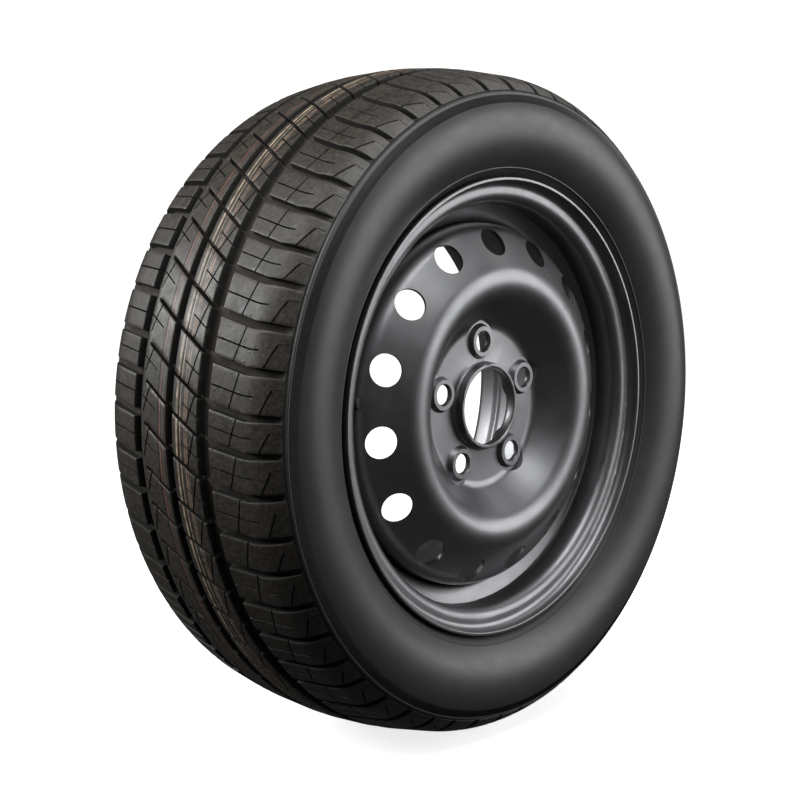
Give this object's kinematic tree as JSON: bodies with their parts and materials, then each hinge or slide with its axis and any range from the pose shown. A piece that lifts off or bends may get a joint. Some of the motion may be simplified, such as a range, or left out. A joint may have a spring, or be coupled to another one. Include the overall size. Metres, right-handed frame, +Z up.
{
  "type": "wheel and tyre assembly",
  "caption": "Road wheel with a pressed steel disc, ring of round vents, bolt seats round a hub bore, and a blank-sided tubeless tyre with a grooved tread.",
  "frame": {"origin": "on the axle line, in the middle plane of the rim and tyre", "axes": "+Y along the axle line towards the car (inboard), -Y out of the wheel's face, +Z up"},
  "size_m": [0.5786, 0.217, 0.5786],
  "materials": {
    "tyre_rubber": "satin",
    "wheel_paint": "satin",
    "valve_rubber": "matte",
    "brass": "satin",
    "cap_plastic": "matte",
    "spring_steel": "satin"
  },
  "bodies": {
    "wheel": {"tyre": "tyre_rubber", "rim": "wheel_paint", "wheel_disc": "wheel_paint", "disc_welds": "wheel_paint", "valve_body": "valve_rubber", "valve_stem": "brass", "valve_core_housing": "brass", "valve_core_gasket": "valve_rubber", "valve_core_spring": "spring_steel"},
    "valve_pin": {"valve_core_pin": "brass", "valve_core_seal": "valve_rubber"},
    "cap_lift": {"valve_cap_seal": "valve_rubber"},
    "cap": {"valve_cap": "cap_plastic"}
  },
  "joints": [
    {"name": "valve_pin_press", "type": "slide", "parent": "wheel", "child": "valve_pin", "axis": [-0.436, 0.8988, 0.0458], "range_m": [0, 0.0012], "stiffness_N_per_m": 2500, "springref_m": -0.0006, "deforming": ["valve_core_spring"]},
    {"name": "cap_lift", "type": "slide", "parent": "wheel", "child": "cap_lift", "axis": [0.436, -0.8988, -0.0458], "range_m": [0, 0.00397]},
    {"name": "cap_turn", "type": "hinge", "parent": "cap_lift", "child": "cap", "pos_m": [-0.16671, -0.05691, 0.01752], "axis": [0.436, -0.8988, -0.0458], "range_deg": [0, 1801]}
  ],
  "couplings": [
    {"joint": "cap_turn", "follows": "cap_lift", "rad_per_m": 7915.8}
  ]
}
